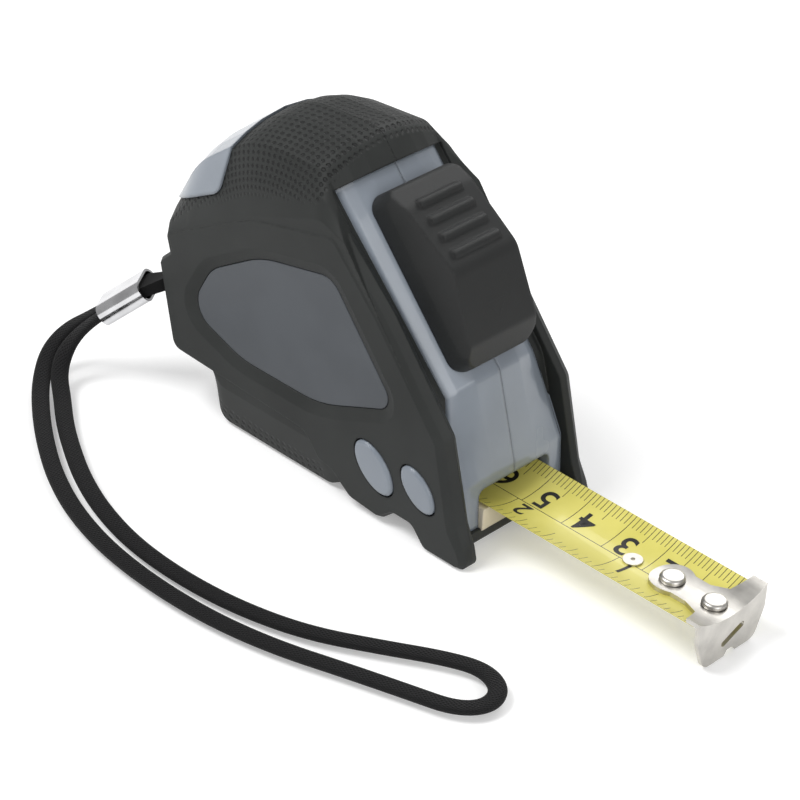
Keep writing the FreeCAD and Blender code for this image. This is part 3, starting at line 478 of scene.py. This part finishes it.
materials = {
    "shell": moulded_plastic("shell_plastic", colour(130, 138, 148), 0.24, 0.06,
                             coat=0.45, radius=1.2 * MM),
    "jacket": dimpled_rubber(),
    "label": moulded_plastic("label_plate", colour(80, 84, 89), 0.42, 0.2, specular=0.35),
    "bumper": moulded_plastic("bumper_nylon", colour(222, 212, 190), 0.5, 0.2),
    "post": moulded_plastic("post_nylon", colour(205, 203, 195), 0.45, 0.2),
    "spring_steel": plated_steel("spring_blue_steel", colour(120, 124, 138), 0.35),
    "reel": moulded_plastic("reel_plastic", colour(214, 213, 207), 0.45, 0.2),
    "blade": blade_paint(),
    "plated": plated_steel("hook_nickel", colour(205, 202, 196), 0.34),
    "chrome": plated_steel("ferrule_chrome", colour(218, 218, 220), 0.12, 0.3),
    "screws": plated_steel("screw_zinc", colour(176, 177, 180), 0.3),
    "slider_core": moulded_plastic("slider_core_plastic", colour(38, 38, 40), 0.5, 0.2),
    "slider_grip": slider_rubber(),
    "cord": braided_cord(),
}
slot_of = {part["node"]: part["material_slot"] for part in frame["record"]["subparts"]}
for node, obj in frame["nodes"].items():
    obj.data.materials.clear()
    obj.data.materials.append(materials[slot_of[node]])


# ---- printed numerals -----------------------------------------------------------------------
def printed_ink():
    material, nodes, shader = start_material("printed_ink", 0.4)
    dress(nodes, shader, colour(24, 23, 20), 0.05 * MM, 0.1, 0.4)
    return material


def blade_top(y):
    """Height of the blade's hollow upper face at y."""
    inner = BLADE_BOW - BLADE_HALF_THICKNESS
    return BLADE_AXIS_Z - math.sqrt(inner ** 2 - y ** 2)


CAPITAL_SHARE = 0.69                        # a figure's height as a share of the type's size
FIGURE_WEIGHT = 0.018
INK_LIFT = 0.03 * MM
NUMERAL_OFFSET = 3.2


def make_numeral(name, text, from_hook, top_y, height, ink):
    """A bold figure, its head towards the case's right side, laid on the blade's hollow face."""
    clear_selection()
    bpy.ops.object.text_add(location=(0, 0, 0))
    figure = bpy.context.object
    figure.name = name
    figure.data.body = text
    figure.data.align_x = "CENTER"
    figure.data.size = height / CAPITAL_SHARE
    figure.data.offset = FIGURE_WEIGHT * height
    figure.data.extrude = 0.0
    bpy.ops.object.convert(target="MESH")
    figure = bpy.context.object
    bpy.ops.object.mode_set(mode="EDIT")
    bpy.ops.mesh.select_all(action="SELECT")
    bpy.ops.mesh.remove_doubles(threshold=0.01 * MM)
    bpy.ops.mesh.quads_convert_to_tris()
    bpy.ops.mesh.subdivide(number_cuts=2)
    bpy.ops.object.mode_set(mode="OBJECT")
    for vertex in figure.data.vertices:
        x = HOOK_FACE_X - from_hook - vertex.co.x
        y = top_y + height - vertex.co.y
        vertex.co = (x, y, blade_top(y) + INK_LIFT)
    figure.data.materials.clear()
    figure.data.materials.append(ink)
    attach(figure, "blade")


def make_numerals():
    ink = printed_ink()
    for number in range(2, 7):
        from_hook = (10 * number - NUMERAL_OFFSET) * MM
        make_numeral("numeral_cm_%d" % number, str(number), from_hook, -0.4 * MM, 5.2 * MM, ink)
    for number in (1, 2):
        from_hook = (25.4 * number - NUMERAL_OFFSET) * MM
        make_numeral("numeral_inch_%d" % number, str(number), from_hook, -5.6 * MM, 4.0 * MM, ink)


make_numerals()


# ---- wrist strap ----------------------------------------------------------------------------
STRAP_WIDTH = 3.6 * MM
STRAP_THICKNESS = 1.6 * MM
strap_points = [
    (-53.37, -23.65, 15.3),
    (-56.6, -25.8, 11.9), (-58.2, -29.8, 7.2), (-56.2, -33.4, 3.8),
    (-50.9, -37.0, 2.2), (-43.9, -42.4, 2.0), (-36.0, -47.4, 2.0),
    (-27.4, -52.2, 2.0), (-17.0, -56.4, 2.0), (-4.6, -59.3, 2.0),
    (9.4, -59.8, 2.0), (23.2, -58.2, 2.0), (36.6, -54.2, 2.0),
    (48.6, -47.2, 2.0), (58.2, -41.2, 2.0), (65.4, -38.2, 2.0),
    (71.4, -40.2, 2.0), (73.2, -45.4, 2.0), (69.6, -50.2, 2.0),
    (60.6, -53.0, 2.0), (48.4, -57.0, 2.0), (35.8, -61.4, 2.0),
    (22.2, -64.2, 2.0), (7.6, -65.0, 2.0), (-7.0, -63.9, 2.0),
    (-20.2, -60.6, 2.0), (-31.6, -55.6, 2.0), (-41.4, -49.6, 2.0),
    (-50.0, -43.4, 2.0), (-57.6, -37.0, 2.4), (-62.4, -31.0, 4.8),
    (-62.4, -26.0, 8.6), (-58.6, -22.3, 12.1),
    (-55.43, -20.35, 15.3),
]


def strap_line():
    """Points along one smooth NURBS line that the strap follows."""
    curve = bpy.data.curves.new("strap_line", "CURVE")
    curve.dimensions = "3D"
    spline = curve.splines.new("NURBS")
    spline.points.add(len(strap_points) - 1)
    for point, place in zip(spline.points, strap_points):
        point.co = (place[0] * MM, place[1] * MM, place[2] * MM, 1.0)
    spline.order_u = 3
    spline.use_endpoint_u = True
    spline.resolution_u = 10
    line = bpy.data.objects.new("strap_line", curve)
    bpy.context.scene.collection.objects.link(line)
    mesh = bpy.data.meshes.new_from_object(line)
    points = [v.co.copy() for v in mesh.vertices]
    bpy.data.objects.remove(line)
    bpy.data.meshes.remove(mesh)
    return points


RING = 16
SQUARENESS = 0.7                            # 1 would be an ellipse, 0 a rectangle
STEEPEST = 0.2                              # below this, the last side direction is kept


def strap_rings(points):
    """The braid's vertices, one flattened ring at every point, and the length up to each ring."""
    verts = []
    lengths = [0.0]
    side_before = None
    for i, point in enumerate(points):
        ahead = points[min(i + 1, len(points) - 1)]
        behind = points[max(i - 1, 0)]
        tangent = (ahead - behind).normalized()
        side = tangent.cross(Vector((0, 0, 1)))
        if side.length < STEEPEST and side_before:
            side = side_before.copy()
        side.normalize()
        side_before = side
        over = side.cross(tangent).normalized()
        if i:
            lengths.append(lengths[-1] + (point - points[i - 1]).length)
        for k in range(RING):
            angle = 2 * math.pi * k / RING
            flat = math.copysign(abs(math.cos(angle)) ** SQUARENESS, math.cos(angle))
            high = math.copysign(abs(math.sin(angle)) ** SQUARENESS, math.sin(angle))
            verts.append(point + side * flat * STRAP_WIDTH / 2 + over * high * STRAP_THICKNESS / 2)
    return verts, lengths


def strap_faces(rows):
    """Four-sided faces between the rings, and a cap at each end."""
    faces = []
    for i in range(rows - 1):
        for k in range(RING):
            a = i * RING + k
            b = i * RING + (k + 1) % RING
            faces.append((a, b, b + RING, a + RING))
    faces.append(tuple(range(RING))[::-1])
    faces.append(tuple((rows - 1) * RING + k for k in range(RING)))
    return faces


def lay_braid_uv(strap, lengths):
    """U goes once round the braid, V along it in widths of the strap."""
    layer = strap.data.uv_layers.new(name="braid")
    for polygon in strap.data.polygons:
        last = max(v % RING for v in polygon.vertices)
        crosses_seam = len(polygon.vertices) == 4 and last == RING - 1
        for corner, loop in zip(polygon.vertices, polygon.loop_indices):
            row, k = divmod(corner, RING)
            turn = 1.0 if crosses_seam and k == 0 else k / RING
            layer.data[loop].uv = (turn, lengths[row] / STRAP_WIDTH)


def make_strap():
    """A flat braid swept along its line, with a UV map along its length."""
    points = strap_line()
    verts, lengths = strap_rings(points)
    strap = new_mesh_object("wrist_strap_braid", verts, strap_faces(len(points)))
    lay_braid_uv(strap, lengths)
    smooth(strap, 60)
    strap.data.materials.append(materials["cord"])
    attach(strap, "case")
    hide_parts("wrist_strap")


make_strap()


# ---- studio ---------------------------------------------------------------------------------
FLOOR_SIZE = 6.0
FLOOR_DROP = 0.02 * MM
FLOOR_GLOW = 0.3
WORLD_FILL = 0.42
LAMP_AIM = Vector((0, 0, 0.03))
LAMPS = [                                   # name, place, size, power
    ("key", (-0.35, -0.45, 0.9), 0.5, 7.0),
    ("fill", (0.75, -0.25, 0.45), 0.6, 2.6),
    ("back", (-0.2, 0.7, 0.6), 0.6, 2.6),
]


def make_floor():
    """A white floor that shows white to the camera and in mirrors, and is lit as plain matt paint."""
    place = (0, 0, cad_box[0][2] - FLOOR_DROP)
    bpy.ops.mesh.primitive_plane_add(size=FLOOR_SIZE, location=place)
    floor = bpy.context.object
    floor.name = "floor"
    material, nodes, shader = start_material("floor_white", 0.9)
    seen = nodes.add("ShaderNodeLightPath").outputs
    mirrored = nodes.math("MAXIMUM", seen["Is Glossy Ray"], seen["Is Transmission Ray"])
    direct = nodes.math("MAXIMUM", seen["Is Camera Ray"], mirrored)
    shader.inputs["Base Color"].default_value = (0.8, 0.8, 0.8, 1.0)
    shader.inputs["Emission Color"].default_value = (1, 1, 1, 1)
    nodes.link(nodes.math("MULTIPLY", direct, FLOOR_GLOW), shader.inputs["Emission Strength"])
    floor.data.materials.append(material)


def make_lamp(name, place, size, power):
    data = bpy.data.lights.new(name, "AREA")
    data.shape = "DISK"
    data.size = size
    data.energy = power
    lamp = bpy.data.objects.new(name, data)
    lamp.location = place
    lamp.rotation_euler = (LAMP_AIM - Vector(place)).to_track_quat("-Z", "Y").to_euler()
    bpy.context.scene.collection.objects.link(lamp)


def make_world():
    world = bpy.data.worlds.new("studio")
    world.use_nodes = True
    background = world.node_tree.nodes["Background"]
    background.inputs["Color"].default_value = (1, 1, 1, 1)
    paths = Nodes(world.node_tree)
    seen = paths.add("ShaderNodeLightPath").outputs
    direct = paths.math("MAXIMUM", seen["Is Camera Ray"], seen["Is Transmission Ray"])
    paths.link(paths.math("MAXIMUM", direct, WORLD_FILL), background.inputs["Strength"])
    bpy.context.scene.world = world


def make_studio():
    make_floor()
    for lamp in LAMPS:
        make_lamp(*lamp)
    make_world()
    bpy.context.scene.view_settings.view_transform = "Standard"


make_studio()


def write_sizes():
    import json


write_sizes()
